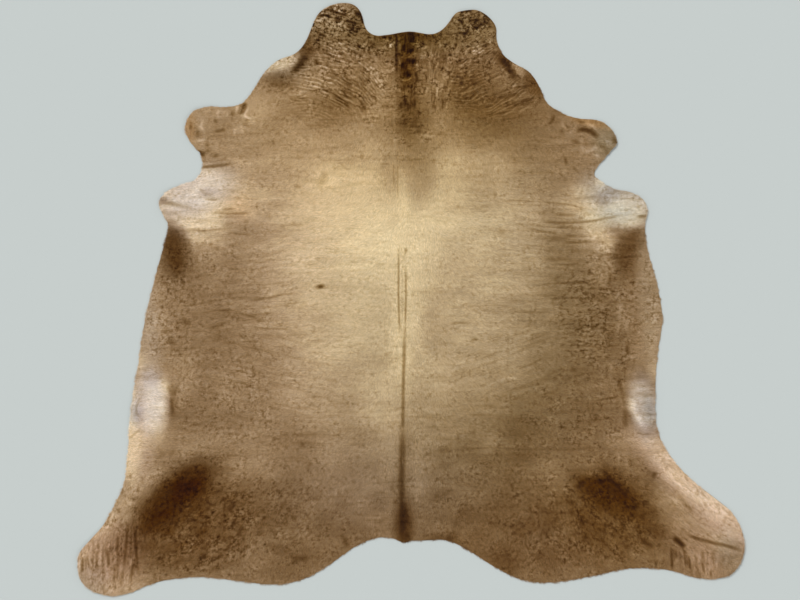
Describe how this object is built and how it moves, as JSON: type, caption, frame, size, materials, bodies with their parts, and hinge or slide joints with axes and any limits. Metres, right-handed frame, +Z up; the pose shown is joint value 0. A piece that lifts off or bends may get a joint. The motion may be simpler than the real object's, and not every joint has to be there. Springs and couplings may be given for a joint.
{
  "type": "cowhide rug",
  "caption": "Whole hair-on cowhide laid flat as a floor rug, with cheek lobes, foreleg and hind-leg ends and brisket flaps in one outline.",
  "frame": {"origin": "middle of the hide's bounding box, on the surface it lies on", "axes": "+X to the right flank seen from the hair side with the neck up, +Y toward the neck, +Z up through the hair"},
  "size_m": [2.3298, 2.0729, 0.0129],
  "materials": {
    "hair_on_leather": "short lying hair, cream along the back and brown on the flanks, on tanned leather"
  },
  "bodies": {
    "root": {"hide": "hair_on_leather"}
  },
  "joints": []
}
